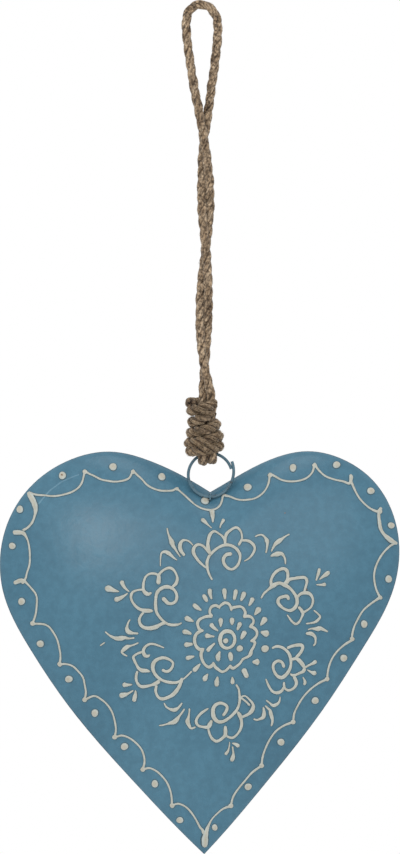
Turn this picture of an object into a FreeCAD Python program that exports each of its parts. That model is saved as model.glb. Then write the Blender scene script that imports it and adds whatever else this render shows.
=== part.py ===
import FreeCAD, Part
import math, os

# A hollow painted sheet-metal heart that hangs by a wire staple from a lapped wire ring,
# and the ring hangs in the eye of a knotted rope loop. Millimetres, +Z up, the face looks along -Y.
# The origin is the hanging point: the inside of the top of the rope loop.

V = FreeCAD.Vector

# Heart
heart_width = 200.0
heart_height = 202.5
crown_height = 14.5
crown_radius = 14.0
tip_pull = 16.0
notch_fill = 4.0
sheet = 0.5
seam_gap = 0.8
seam_proud = 0.25
seam_depth = 0.8

# Wire ring
ring_radius = 11.0
ring_wire = 1.5
lap_gap = 0.15
ring_side = 4.4

# Staple and its solder
staple_wire = 0.9
staple_clearance = 0.1
pin_clearance = 0.35
notch_drop = 2.75
shoulder_clearance = 0.35
solder_margin = 0.6

# Rope
rope_diameter = 4.2
rope_clearance = 0.2
hanger_drop = 223.5
knot_side = 3.0
knot_height = 20.2
eye_clearance = 0.7
tail_height = 6.0
wrap_pitch = 4.65
wrap_taper = 1.75
collar_step = 6.8

overrun = 1.0

# Shares and counts chosen by hand
# Outline of the heart: share of its width from the left, share of its height from the tip.
left_outline_shares = [(0.5264, 0.8983), (0.4598, 0.9379), (0.3744, 0.9769), (0.2789, 0.9995), (0.1784, 0.9809),
                       (0.0729, 0.9099), (0.0085, 0.7928), (0.0065, 0.6539), (0.0716, 0.5149), (0.1807, 0.3561),
                       (0.3374, 0.1774), (0.4849, 0.0251), (0.5115, 0.0)]
right_outline_shares = [(0.5115, 0.0), (0.5352, 0.0251), (0.6663, 0.1774), (0.8067, 0.3561), (0.9113, 0.5149),
                        (0.9844, 0.6539), (0.999, 0.7854), (0.9377, 0.9253), (0.8568, 0.9819), (0.7714, 1.0007),
                        (0.6859, 0.9831), (0.5955, 0.9387), (0.5264, 0.8983)]
centre_shares = (0.5126, 0.629)
# Rings of the dome, from the rim to the crown, as shares of the way in.
dome_shares = [0.0, 0.001, 0.01, 0.04, 0.1, 0.19, 0.31, 0.46, 0.63, 0.81, 0.93, 1.0]
mean_reach_share = 0.43
tip_zone_share = 0.12
notch_zone_share = 0.03
roll_power = 0.62
inset_share = 1.15
# Ring lap: where the wire leaves its circle, where it ends, and where the other end lies.
lap_leave_angle = -45.0
lap_outer_angle = 21.0
lap_inner_angle = 16.0
# Winding of the knot: turns under the neck, turns in all, and where it starts round the rope.
body_turns = 3.5
all_turns = 4.75
start_angle = 90.0
steps_per_turn = 4
taper_from_share = 0.35
taper_to_share = 0.75
run_share = 0.45
# The strands of the eye: where they start to bend apart round the ring, and where they are apart.
bend_from_share = 0.3
bend_to_share = 0.72
# Points of the winding nearer along the wire than this many diameters are one turn.
same_turn_share = 4.0
points_per_arc = 8
largest_arc_angle = 120.0
samples_along = 600
samples_across = 120

# The route of the free rope, chosen by hand: up the first leg, over the top and down the second.
rope_route = [
    (0.8, 0.0, -203.3), (0.8, 0.0, -198.5), (0.9, 1.6, -191.5), (1.5, 2.2, -181.5), (2.6, 1.6, -167.1),
    (3.6, 0.0, -151.6), (3.3, -1.6, -136.0), (2.3, -2.2, -120.4), (0.7, -1.6, -107.3), (0.0, 0.0, -93.8),
    (0.3, 1.6, -78.7), (1.3, 2.3, -64.5), (3.0, 1.5, -54.0), (4.6, 0.1, -43.5), (6.3, -0.1, -31.0),
    (7.6, 0.1, -20.4), (8.4, 0.0, -11.6), (8.0, 0.0, -4.6), (4.9, 0.0, 0.4), (-0.5, 0.0, 2.5),
    (-5.8, 0.0, 0.1), (-7.6, 0.0, -5.0), (-7.6, 0.1, -12.4), (-6.7, 0.0, -20.9), (-5.0, 0.1, -31.4),
    (-3.1, -0.1, -42.5), (-0.9, -1.5, -53.2), (0.9, -2.3, -63.8), (3.4, -1.6, -78.7), (4.4, 0.0, -93.8),
    (3.9, 1.6, -107.3), (2.3, 2.2, -120.4), (0.1, 1.6, -136.0), (-0.8, 0.0, -151.6), (-0.5, -1.6, -167.1),
    (1.7, -2.2, -181.5), (4.4, -1.6, -191.5), (5.2, 0.0, -198.5), (5.2, 0.0, -203.3)]

# Values worked out from those above
ring_top = -hanger_drop
ring_bottom = ring_top - 2 * ring_radius
eye_radius = ring_wire / 2 + pin_clearance + staple_wire / 2
lap_swing = math.radians(lap_outer_angle - lap_leave_angle)
lap_growth = (ring_wire + lap_gap) / (1 - math.cos(lap_swing))
mean_reach = mean_reach_share * heart_width
bight_radius = rope_diameter / 2 + eye_clearance + ring_wire / 2
strand_spacing = rope_diameter + rope_clearance


def outline(shares):
    """Points of half the outline, in the heart's own frame: its notch above x = 0, its eye at the origin."""
    notch_x, notch_z = left_outline_shares[0]
    return [V((x - notch_x) * heart_width, 0, (z - notch_z) * heart_height + notch_drop) for x, z in shares]


def centre():
    return outline([centre_shares])[0]


def chord_shares(points):
    """Parameters for a curve through the points, by their distance along it."""
    lengths = [0.0]
    for a, b in zip(points, points[1:]):
        lengths.append(lengths[-1] + (b - a).Length)
    return [length / lengths[-1] for length in lengths]


def corner_pull(place):
    """How far the dome's rings draw in at the tip, and fill out at the notch, so that neither makes a crease."""
    x, z = place
    notch_x = left_outline_shares[0][0]
    at_tip = max(0.0, 1 - z / tip_zone_share)
    at_notch = max(0.0, 1 - abs(x - notch_x) / notch_zone_share) if z > centre_shares[1] else 0.0
    return tip_pull * at_tip - notch_fill * at_notch


def ring_curves(inward_share, inset, lift):
    """The two halves of a closed curve round the dome, that share of the way in, set in and lifted."""
    curves = []
    for shares in (left_outline_shares, right_outline_shares):
        rim = outline(shares)
        points = []
        for place, point in zip(shares, rim):
            arm = point - centre()
            reach = arm.Length - crown_radius
            power = roll_power * math.sqrt(mean_reach / reach)
            rise = crown_height * (1 - (1 - inward_share) ** 2) ** power
            softer = corner_pull(place) * (1 - (1 - 2 * inward_share) ** 2)
            radius = arm.Length - inward_share * reach - softer - inset
            points.append(centre() + arm * (radius / arm.Length) + V(0, -rise - lift, 0))
        curve = Part.BSplineCurve()
        curve.interpolate(Points=points, Parameters=chord_shares(rim))
        curves.append(curve)
    return curves


def flat_face(curves):
    return Part.Face(Part.Wire([curve.toShape() for curve in curves]))


def dome_surfaces(inset, lift):
    """The two halves of the dome's skin, its rim in the plane y = 0, its crown towards -Y."""
    rings = [ring_curves(share, inset, lift) for share in dome_shares]
    surfaces = []
    degree = 3
    last_knot = len(rings) - degree
    across_knots = [float(knot) for knot in range(last_knot + 1)]
    across_mults = [degree + 1] + [1] * (last_knot - 1) + [degree + 1]
    for half in (0, 1):
        along = rings[0][half]
        poles = [list(column) for column in zip(*[ring[half].getPoles() for ring in rings])]
        surface = Part.BSplineSurface()
        surface.buildFromPolesMultsKnots(poles, along.getMultiplicities(), across_mults, along.getKnots(),
                                         across_knots, False, False, along.Degree, degree)
        surfaces.append(surface)
    return surfaces


def dome(inset, lift):
    """The dome as a solid, flat at its rim."""
    faces = [flat_face(ring_curves(share, inset, lift)) for share in (dome_shares[0], dome_shares[-1])]
    faces += [surface.toShape() for surface in dome_surfaces(inset, lift)]
    shell_of_faces = Part.Shell(faces)
    shell_of_faces.sewShape()
    solid = Part.Solid(shell_of_faces)
    if solid.Volume < 0:
        solid.reverse()
    return solid


def on_circle(middle, radius, angle):
    return middle + V(radius * math.cos(math.radians(angle)), 0, radius * math.sin(math.radians(angle)))


def wire_distance(place):
    """How far a place in the ring's plane lies from the line of its wire, with the ring's lowest point at zero."""
    middle = V(0, 0, ring_radius)
    wide_middle = on_circle(middle, -lap_growth, lap_leave_angle)
    distance = abs((place - middle).Length - ring_radius)
    arm = place - wide_middle
    if lap_leave_angle <= math.degrees(math.atan2(arm.z, arm.x)) <= lap_outer_angle:
        distance = min(distance, abs(arm.Length - ring_radius - lap_growth))
    return distance


def ring_standoff():
    """How far in front of the seam the ring's plane lies, so that its wire clears the heart's shoulders."""
    room = ring_wire / 2 + shoulder_clearance
    height = 0.0
    for surface in dome_surfaces(0.0, 0.0):
        for along in range(samples_along + 1):
            for across in range(samples_across + 1):
                point = surface.value(along / samples_along, across * surface.bounds()[3] / samples_across)
                distance = wire_distance(V(point.x, 0, point.z))
                if distance < room:
                    height = max(height, math.sqrt(room ** 2 - distance ** 2) - point.y)
    return seam_gap / 2 + height


standoff = ring_standoff()


def cavity():
    return dome(sheet * inset_share, -sheet)


def shell():
    """One pressed half of the heart."""
    half = dome(0.0, 0.0).cut(cavity())
    return half.Solids[0]


def band(inset, thickness):
    """A flat plate of the outline, set in by that much and centred on y = 0."""
    face = flat_face(ring_curves(0.0, inset, 0.0))
    face.translate(V(0, -thickness / 2, 0))
    plate = face.extrude(V(0, thickness, 0))
    return plate


def front_shell():
    """The decorated half, with one narrow slot for the staple's two legs."""
    half = shell()
    half.translate(V(0, standoff - seam_gap / 2, 0))
    slot_half_width = staple_wire / 2 + staple_clearance
    slot_half_height = eye_radius + slot_half_width
    slot = Part.makeBox(2 * slot_half_width, slot_half_height + standoff, 2 * slot_half_height,
                        V(-slot_half_width, -slot_half_height, -slot_half_height))
    return half.cut(slot)


def back_shell():
    half = shell().mirror(V(0, 0, 0), V(0, 1, 0))
    half.translate(V(0, standoff + seam_gap / 2, 0))
    return half


def seam_bead():
    """The brazed bead between the two rims."""
    bead = band(-seam_proud, seam_gap).cut(band(seam_depth, seam_gap + 2 * overrun))
    bead.translate(V(0, standoff, 0))
    return bead


def arc(a, b, c):
    return Part.Arc(a, b, c).toShape()


def line(a, b):
    return Part.LineSegment(a, b).toShape()


def tube(edges, diameter):
    """A round solid along a tangent chain of edges."""
    path = Part.Wire(edges)
    first = path.Edges[0]
    start = first.valueAt(first.FirstParameter)
    profile = Part.Wire([Part.makeCircle(diameter / 2, start, first.tangentAt(first.FirstParameter))])
    return path.makePipeShell([profile], True, False)


def ring_staple():
    """A wire staple round the ring, its two legs through the front shell just under the notch."""
    edges = [line(V(0, standoff, eye_radius), V(0, 0, eye_radius)),
             arc(V(0, 0, eye_radius), V(0, -eye_radius, 0), V(0, 0, -eye_radius)),
             line(V(0, 0, -eye_radius), V(0, standoff, -eye_radius))]
    return tube(edges, staple_wire)


def staple_solder(staple):
    """Solder behind the sheet that holds the staple's legs."""
    radius = eye_radius + staple_wire / 2 + solder_margin
    inside = cavity()
    inside.translate(V(0, standoff - seam_gap / 2, 0))
    blob = Part.makeCylinder(radius, standoff - seam_gap / 2, V(0, 0, 0), V(0, 1, 0)).common(inside)
    return blob.cut(staple).Solids[0]


def arcs_round(middle, radius, first, last):
    """Arcs of under a half circle in the XZ plane, from one angle to another."""
    count = math.ceil(abs(last - first) / largest_arc_angle)
    step = (last - first) / count
    edges = []
    for index in range(count):
        angles = [first + step * (index + part) for part in (0, 0.5, 1)]
        edges.append(arc(*[on_circle(middle, radius, angle) for angle in angles]))
    return edges


def hanging_ring():
    """A ring of bent wire, its ends lapped side by side on the right."""
    middle = V(ring_side, 0, ring_top - ring_radius)
    wide_middle = on_circle(middle, -lap_growth, lap_leave_angle)
    full_turn = 360.0
    edges = arcs_round(middle, ring_radius, lap_inner_angle, full_turn + lap_leave_angle)
    edges += arcs_round(wide_middle, ring_radius + lap_growth, lap_leave_angle, lap_outer_angle)
    return tube(edges, ring_wire)


def rounded_route(points):
    """Straight runs joined by tangent arcs, each as large as its two runs allow."""
    edges = []
    radii = []
    last = points[0]
    for before, corner, after in zip(points, points[1:], points[2:]):
        incoming = (corner - before).normalize()
        outgoing = (after - corner).normalize()
        cut = run_share * min((corner - before).Length, (after - corner).Length)
        half_turn = incoming.getAngle(outgoing) / 2
        radii.append(cut / math.tan(half_turn))
        start = corner - incoming * cut
        end = corner + outgoing * cut
        inward = (outgoing - incoming).normalize()
        centre_distance = radii[-1] / math.cos(half_turn)
        middle = corner + inward * (centre_distance - radii[-1])
        edges.append(line(last, start))
        edges.append(arc(start, middle, end))
        last = end
    edges.append(line(last, points[-1]))
    return edges, radii


def rope_hanger():
    """The free rope: the loop and its two legs, twisted about each other."""
    edges, radii = rounded_route([V(*point) for point in rope_route])
    solid = tube(edges, rope_diameter)
    length = sum(edge.Length for edge in edges)
    expected = length * math.pi * rope_diameter ** 2 / 4
    print("rope length", round(length, 1), "volume against section times length", round(solid.Volume / expected, 5))
    print("rope radii", [round(radius, 1) for radius in radii])
    return solid


def eye_strand(side):
    """One strand of the eye: down inside the knot, under the ring's wire and a short way up behind."""
    x = knot_side + side * strand_spacing / 2
    top = ring_top + knot_height
    wire_drop = ring_radius - math.sqrt(ring_radius ** 2 - (x - ring_side) ** 2)
    bottom = ring_top - wire_drop - ring_wire / 2 - pin_clearance - rope_diameter / 2 + bight_radius
    points = [V(x, 0, top), V(x, 0, top - knot_height * bend_from_share),
              V(x, -bight_radius, top - knot_height * bend_to_share), V(x, -bight_radius, bottom)]
    edges, radii = rounded_route(points)
    diagonal = bight_radius / math.sqrt(2)
    edges.append(arc(V(x, -bight_radius, bottom), V(x, -diagonal, bottom - diagonal), V(x, 0, bottom - bight_radius)))
    edges.append(arc(V(x, 0, bottom - bight_radius), V(x, diagonal, bottom - diagonal), V(x, bight_radius, bottom)))
    edges.append(line(V(x, bight_radius, bottom), V(x, bight_radius, ring_top + tail_height)))
    return tube(edges, rope_diameter)


def rope_eye():
    """The two strands that the ring hangs in."""
    return Part.makeCompound([eye_strand(-1), eye_strand(1)])


def eased(share):
    """A step from 0 to 1 that starts and ends level."""
    share = min(1.0, max(0.0, share))
    return share * share * (3 - 2 * share)


def wrap_point(turns):
    """Where the winding is after that many turns from its lower end."""
    corner = math.hypot(strand_spacing / 2, bight_radius)
    low_radius = corner + rope_diameter + rope_clearance
    high_radius = low_radius - wrap_taper
    first_height = ring_top + ring_wire / 2 + pin_clearance + rope_diameter / 2 - wrap_pitch / 2
    body_share = turns / body_turns
    taper = eased((body_share - taper_from_share) / (taper_to_share - taper_from_share))
    radius = low_radius + (high_radius - low_radius) * taper
    neck = eased(turns - body_turns + 1)
    height = first_height + wrap_pitch * turns + (collar_step - wrap_pitch) * neck
    angle = math.radians(start_angle) + 2 * math.pi * turns
    return V(knot_side + radius * math.cos(angle), radius * math.sin(angle), height)


def wrap_tangent(turns):
    tiny_share = 0.0001
    return (wrap_point(turns + tiny_share) - wrap_point(turns - tiny_share)).normalize()


def arc_from(start, tangent, end):
    """The arc that leaves start along tangent and reaches end."""
    chord = end - start
    half_turn = tangent.getAngle(chord)
    side = (tangent * chord.Length ** 2 - chord * tangent.dot(chord)).normalize()
    sagitta = chord.Length / 2 * math.tan(half_turn / 2)
    return arc(start, start + chord * 0.5 + side * sagitta, end)


def biarc(start, start_tangent, end, end_tangent):
    """Two tangent arcs between two places with given directions."""
    chord = end - start
    total = start_tangent + end_tangent
    a = total.dot(total) - 4
    b = -2 * chord.dot(total)
    c = chord.dot(chord)
    reach = (-b - math.sqrt(b * b - 4 * a * c)) / (2 * a)
    if reach < 0:
        reach = (-b + math.sqrt(b * b - 4 * a * c)) / (2 * a)
    first_corner = start + start_tangent * reach
    second_corner = end - end_tangent * reach
    joint = (first_corner + second_corner) * 0.5
    joint_tangent = (second_corner - first_corner).normalize()
    return [arc_from(start, start_tangent, joint), arc_from(joint, joint_tangent, end)]


def winding_edges():
    count = round(all_turns * steps_per_turn)
    turns = [all_turns * index / count for index in range(count + 1)]
    edges = [line(wrap_point(0) - wrap_tangent(0) * rope_diameter, wrap_point(0))]
    for a, b in zip(turns, turns[1:]):
        edges += biarc(wrap_point(a), wrap_tangent(a), wrap_point(b), wrap_tangent(b))
    last = turns[-1]
    edges.append(line(wrap_point(last), wrap_point(last) + wrap_tangent(last) * rope_diameter))
    return edges


def least_gap(edges):
    """The least gap between turns of a wound tube, from points along it."""
    points = []
    places = []
    place = 0.0
    for edge in edges:
        for point in edge.discretize(Number=points_per_arc)[:-1]:
            points.append(point)
            places.append(place + (point - edge.valueAt(edge.FirstParameter)).Length)
        place += edge.Length
    apart = same_turn_share * rope_diameter
    gaps = [(p - q).Length for i, p in enumerate(points) for j, q in enumerate(points) if places[j] - places[i] > apart]
    return min(gaps) - rope_diameter


def rope_wraps():
    """The winding of the knot: four rows round the strands, then a collar round the neck."""
    edges = winding_edges()
    solid = tube(edges, rope_diameter)
    length = sum(edge.Length for edge in edges)
    expected = length * math.pi * rope_diameter ** 2 / 4
    print("winding length", round(length, 1), "volume ratio", round(solid.Volume / expected, 5))
    print("least gap of the winding to itself", round(least_gap(edges), 2))
    return solid


def hang(shapes):
    """The heart leans until its weight is right under the ring, then hangs from the ring's lowest point."""
    volume = sum(shape.Volume for shape in shapes.values())
    weighted = V(0, 0, 0)
    for shape in shapes.values():
        for solid in shape.Solids:
            weighted += solid.CenterOfMass * solid.Volume
    middle = weighted * (1 / volume)
    lean = math.degrees(math.atan2(middle.y, -middle.z))
    print("standoff", round(standoff, 3), "the heart leans", round(lean, 3), "degrees, its middle", middle)
    for shape in shapes.values():
        shape.rotate(V(0, 0, 0), V(1, 0, 0), -lean)
        shape.translate(V(ring_side, 0, ring_bottom))
    return shapes


def heart():
    staple = ring_staple()
    shapes = {"front_shell": front_shell(), "back_shell": back_shell(), "seam_bead": seam_bead(),
              "ring_staple": staple, "staple_solder": staple_solder(staple)}
    return hang(shapes)


def main():
    os.makedirs("parts", exist_ok=True)
    shapes = heart()
    shapes["hanging_ring"] = hanging_ring()
    shapes["rope_hanger"] = rope_hanger()
    shapes["rope_eye"] = rope_eye()
    shapes["rope_wraps"] = rope_wraps()
    for name, shape in shapes.items():
        print(name, shape.isValid(), len(shape.Solids), round(shape.Volume, 1))
        shape.exportStep("parts/" + name + ".step")


main()
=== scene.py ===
import bpy
import math
import random

from mathutils import Matrix, Vector
from mathutils.bvhtree import BVHTree


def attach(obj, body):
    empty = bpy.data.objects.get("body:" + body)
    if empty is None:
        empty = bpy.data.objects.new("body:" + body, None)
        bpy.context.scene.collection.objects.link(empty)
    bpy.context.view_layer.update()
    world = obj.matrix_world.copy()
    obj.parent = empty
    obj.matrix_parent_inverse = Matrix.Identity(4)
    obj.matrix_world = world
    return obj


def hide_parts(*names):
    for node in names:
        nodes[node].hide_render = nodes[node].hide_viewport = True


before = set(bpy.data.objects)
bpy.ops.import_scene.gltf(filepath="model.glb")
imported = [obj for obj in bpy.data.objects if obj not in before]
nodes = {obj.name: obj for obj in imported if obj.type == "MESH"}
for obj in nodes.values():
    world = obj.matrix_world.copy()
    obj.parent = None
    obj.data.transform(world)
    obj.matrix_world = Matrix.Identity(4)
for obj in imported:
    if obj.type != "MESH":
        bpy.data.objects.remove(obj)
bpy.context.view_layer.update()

MM = 0.001

# The photograph's frame: its size in pixels, the real size of a pixel, and the pixel that shows the origin
PHOTO_WIDTH = 400
PHOTO_HEIGHT = 854
PIXEL = 0.5025 * MM
PIXEL_X = 201.4
PIXEL_Y = 8.4
CAMERA_DISTANCE = 6.0
SENSOR = 36.0


def photo_point(x, y):
    """The place in the plane y = 0 that a pixel of the photograph shows."""
    return Vector(((x - PIXEL_X) * PIXEL, 0.0, -(y - PIXEL_Y) * PIXEL))


def new_object(name, data):
    made = bpy.data.objects.new(name, data)
    bpy.context.scene.collection.objects.link(made)
    return made


# Camera
camera_data = bpy.data.cameras.new("camera")
camera_data.sensor_width = SENSOR
camera_data.lens = SENSOR * CAMERA_DISTANCE / (PHOTO_HEIGHT * PIXEL)
camera_data.clip_start = 0.5
camera_data.clip_end = 40.0
camera = new_object("camera", camera_data)
frame_middle = photo_point(PHOTO_WIDTH / 2, PHOTO_HEIGHT / 2)
camera.location = frame_middle + Vector((0.0, -CAMERA_DISTANCE, 0.0))
camera.rotation_euler = (math.radians(90.0), 0.0, 0.0)
bpy.context.scene.camera = camera


# Small tools
def mesh_object(name, points, faces, material):
    mesh = bpy.data.meshes.new(name)
    mesh.from_pydata([tuple(point) for point in points], [], faces)
    mesh.validate()
    mesh.polygons.foreach_set("use_smooth", [True] * len(mesh.polygons))
    mesh.materials.append(material)
    return new_object(name, mesh)


def add_layer(made, name, kind, key, values):
    """One value for each point of a mesh, for its material to read."""
    layer = made.data.attributes.new(name, kind, "POINT")
    layer.data.foreach_set(key, values)


def tube_faces(base, rings, sides):
    """The faces of a closed tube, whose points lie ring after ring from the one numbered base on."""
    faces = []
    for ring in range(rings - 1):
        for corner in range(sides):
            a = base + ring * sides + corner
            b = base + ring * sides + (corner + 1) % sides
            faces.append((a, b, b + sides, a + sides))
    last = base + (rings - 1) * sides
    faces.append(tuple(reversed(range(base, base + sides))))
    faces.append(tuple(range(last, last + sides)))
    return faces


def disc_faces(base, rings, spokes):
    """The faces of a disc: a middle point numbered base, then its rings of points."""
    faces = []
    for spoke in range(spokes):
        following = (spoke + 1) % spokes
        faces.append((base, base + 1 + following, base + 1 + spoke))
        for ring in range(rings - 1):
            a = base + 1 + ring * spokes
            faces.append((a + spoke, a + following, a + spokes + following, a + spokes + spoke))
    return faces


def phases(chance, count):
    return [chance.uniform(0.0, 6.28) for _ in range(count)]


def turned(first, second, angle):
    """The way that lies at an angle from the first way towards the second."""
    return first * math.cos(angle) + second * math.sin(angle)


def smooth_step(value):
    value = min(1.0, max(0.0, value))
    return value * value * (3.0 - 2.0 * value)


def nurbs_points(name, points):
    """Points along the smooth line that a NURBS spline draws through its control points."""
    data = bpy.data.curves.new(name, "CURVE")
    data.dimensions = "3D"
    data.resolution_u = 24
    spline = data.splines.new("NURBS")
    spline.points.add(len(points) - 1)
    for place, point in zip(spline.points, points):
        place.co = (*point, 1.0)
    spline.order_u = 3
    spline.use_endpoint_u = True
    helper = bpy.data.objects.new(name, data)
    mesh = bpy.data.meshes.new_from_object(helper)
    line = [v.co.copy() for v in mesh.vertices]
    bpy.data.objects.remove(helper)
    bpy.data.meshes.remove(mesh)
    bpy.data.curves.remove(data)
    return line


def lengths_along(line):
    """How far along a line each of its points lies."""
    lengths = [0.0]
    for a, b in zip(line, line[1:]):
        lengths.append(lengths[-1] + (b - a).length)
    return lengths


def spaced(line, lengths, step, least):
    """Points a steady step apart on a line, whose own points lie at the given lengths."""
    count = max(least, round(lengths[-1] / step))
    made = []
    place = 0
    for index in range(count + 1):
        target = lengths[-1] * index / count
        while place < len(line) - 2 and lengths[place + 1] < target:
            place += 1
        span = lengths[place + 1] - lengths[place]
        share = (target - lengths[place]) / span if span > 0.0 else 0.0
        made.append(line[place].lerp(line[place + 1], min(1.0, max(0.0, share))))
    return made


def evenly(line, step):
    """The same line with points a steady step apart."""
    return spaced(line, lengths_along(line), step, 2)


def frames_along(line):
    """A tangent and two normals at each point of a line, with no needless twist."""
    around = zip(line[:1] + line, line[1:] + line[-1:])
    tangents = [(after - before).normalized() for before, after in around]
    side = tangents[0].orthogonal().normalized()
    frames = []
    for tangent in tangents:
        side = (side - tangent * side.dot(tangent)).normalized()
        frames.append((tangent, side, tangent.cross(side)))
    return frames


# Rope
STRANDS = 3
# The length of a strand's turn, in the loop and in the winding
LAY = 19.0 * MM
WRAP_LAY = 11.5 * MM
# Radius of a strand, and how far its middle is from the rope's line: tight in the loop, looser in the knot
PLY = (1.4 * MM, 0.78 * MM)
LOOSE_PLY = (1.2 * MM, 1.02 * MM)
STRAND_SIDES = 12
ROPE_STEP = 0.7 * MM
STRAND_ROUGHNESS = 0.045
# Over what lengths, in metres, a strand turns, moves out, swells and is darker
TURN_WAVES = (0.011, 0.0047)
OFFSET_WAVE = 0.008
RADIUS_WAVE = 0.0063
DARKENING_WAVES = (0.0023, 0.0061)
# The fibres' winding, in metres to a radian, and their spread along and between the strands
FIBRE_TWIST = 0.0042
FIBRE_SCALE = 60.0
STRAND_SHIFT = 7.3
# Painted shade in the grooves: they are darkest up to the first share of the rope's radius and fade out over
# the second
GROOVE_SHADE_START = 0.66
GROOVE_SHADE_SPAN = 0.26
# Loose fibres: sides, heights above the strand and turn at each step
FUZZ_SIDES = 3
FUZZ_HEIGHTS = (0.04, 0.08, 0.12, 0.3, 0.7)
FUZZ_TURN = 0.12

# The route of the free rope, in millimetres: up the first leg, over the top and down the second.
rope_route = [
    (0.8, 0.0, -203.3), (0.8, 0.0, -198.5), (0.9, 1.6, -191.5), (1.5, 2.2, -181.5), (2.6, 1.6, -167.1),
    (3.6, 0.0, -151.6), (3.3, -1.6, -136.0), (2.3, -2.2, -120.4), (0.7, -1.6, -107.3), (0.0, 0.0, -93.8),
    (0.3, 1.6, -78.7), (1.3, 2.3, -64.5), (3.0, 1.5, -54.0), (4.6, 0.1, -43.5), (6.3, -0.1, -31.0),
    (7.6, 0.1, -20.4), (8.4, 0.0, -11.6), (8.0, 0.0, -4.6), (4.9, 0.0, 0.4), (-0.5, 0.0, 2.5),
    (-5.8, 0.0, 0.1), (-7.6, 0.0, -5.0), (-7.6, 0.1, -12.4), (-6.7, 0.0, -20.9), (-5.0, 0.1, -31.4),
    (-3.1, -0.1, -42.5), (-0.9, -1.5, -53.2), (0.9, -2.3, -63.8), (3.4, -1.6, -78.7), (4.4, 0.0, -93.8),
    (3.9, 1.6, -107.3), (2.3, 2.2, -120.4), (0.1, 1.6, -136.0), (-0.8, 0.0, -151.6), (-0.5, -1.6, -167.1),
    (1.7, -2.2, -181.5), (4.4, -1.6, -191.5), (5.2, 0.0, -198.5), (5.2, 0.0, -203.3)]


def rope_mesh(name, line, seed, material, fuller=1.0, darkening=0.0, lay=LAY, ply=PLY):
    """Three laid strands along a line, with fibre coordinates and the painted shade of the grooves for the
    material.
    """
    chance = random.Random(seed)
    line = evenly(line, ROPE_STEP)
    frames = frames_along(line)
    points = []
    faces = []
    fibre = []
    groove = []
    for strand in range(STRANDS):
        base = len(points)
        wander = phases(chance, 4)
        for index, (middle, (tangent, side, up)) in enumerate(zip(line, frames)):
            along = index * ROPE_STEP
            angle = math.tau * (strand / STRANDS + along / lay)
            angle += (0.16 * math.sin(along / TURN_WAVES[0] + wander[0])
                      + 0.1 * math.sin(along / TURN_WAVES[1] + wander[1]))
            offset = fuller * ply[1] * (1.0 + 0.07 * math.sin(along / OFFSET_WAVE + wander[2]))
            radius = fuller * ply[0] * (1.0 + 0.07 * math.sin(along / RADIUS_WAVE + wander[3]))
            out = turned(side, up, angle)
            across = tangent.cross(out)
            centre = middle + out * offset
            # Darker in patches along the strand: this lowers the groove value, so the dark groove colour
            # reaches the strands' crowns too
            patchy = math.sin(along / DARKENING_WAVES[1] + wander[2])
            darkened = darkening * (1.0 + 0.9 * math.sin(along / DARKENING_WAVES[0] + wander[1]) * patchy)
            for corner in range(STRAND_SIDES):
                around = math.tau * corner / STRAND_SIDES
                way = turned(out, across, around)
                rough = 1.0 + chance.uniform(-STRAND_ROUGHNESS, STRAND_ROUGHNESS)
                points.append(centre + way * (radius * rough))
                twist = around + along / FIBRE_TWIST
                fibre += (math.cos(twist), math.sin(twist),
                          along * FIBRE_SCALE + strand * STRAND_SHIFT + seed)
                # Painted shade: low values where the strand's surface lies deep between the strands
                depth = (centre + way * radius - middle).length / (fuller * sum(ply))
                groove.append(smooth_step((depth - GROOVE_SHADE_START) / GROOVE_SHADE_SPAN) * (1.0 - darkened))
        faces += tube_faces(base, len(line), STRAND_SIDES)
    made = mesh_object(name, points, faces, material)
    add_layer(made, "fibre", "FLOAT_VECTOR", "vector", fibre)
    add_layer(made, "groove", "FLOAT", "value", groove)
    return made


def fuzz_mesh(name, line, count, seed, material, fuller=1.0, lay=LAY, ply=PLY):
    """Loose fibres that lie along the strands and stand a little proud of the rope."""
    chance = random.Random(seed)
    line = evenly(line, ROPE_STEP)
    frames = frames_along(line)
    points = []
    faces = []
    shade = []
    for _ in range(count):
        start = chance.randrange(2, len(line) - 12)
        strand = chance.randrange(STRANDS)
        around = chance.uniform(-1.9, 1.9)
        drift = chance.uniform(-0.5, 0.5)
        steps = chance.randrange(3, 10)
        lift = chance.choice(FUZZ_HEIGHTS) * MM
        thick = chance.uniform(0.035, 0.075) * MM
        tone = chance.uniform(0.0, 1.0)
        base = len(points)
        for step in range(steps + 1):
            index = start + step
            tangent, side, up = frames[index]
            share = step / steps
            out = turned(side, up, math.tau * (strand / STRANDS + index * ROPE_STEP / lay))
            way = turned(out, tangent.cross(out), around + drift * share - step * FUZZ_TURN)
            high = fuller * ply[0] * 0.98 + lift * share * share
            centre = line[index] + out * (fuller * ply[1]) + way * high
            width = thick * (1.0 - 0.6 * share)
            beside = tangent.cross(way)
            for corner in range(FUZZ_SIDES):
                a = math.tau * corner / FUZZ_SIDES
                points.append(centre + way * (width * math.cos(a)) + beside * (width * math.sin(a)))
                shade.append(tone)
        faces += tube_faces(base, steps + 1, FUZZ_SIDES)
    made = mesh_object(name, points, faces, material)
    add_layer(made, "shade", "FLOAT", "value", shade)
    return made


# Materials
WHITE = (1.0, 1.0, 1.0, 1.0)


def new_material(name):
    material = bpy.data.materials.new(name)
    material.use_nodes = True
    tree = material.node_tree
    shader = tree.nodes["Principled BSDF"]
    return material, tree, shader


def srgb(red, green, blue):
    """A linear colour from the eight-bit values seen in a picture."""
    def linear(value):
        value /= 255.0
        return value / 12.92 if value <= 0.04045 else ((value + 0.055) / 1.055) ** 2.4
    return (linear(red), linear(green), linear(blue), 1.0)


def feed(tree, node, inputs):
    """Links outputs, or puts constants, straight into a node's inputs."""
    for key, value in inputs.items():
        if hasattr(value, "is_output"):
            tree.links.new(value, node.inputs[key])
        else:
            node.inputs[key].default_value = value


def add(tree, kind, inputs=None, **settings):
    node = tree.nodes.new(kind)
    for key, value in settings.items():
        setattr(node, key, value)
    feed(tree, node, inputs or {})
    return node


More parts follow.
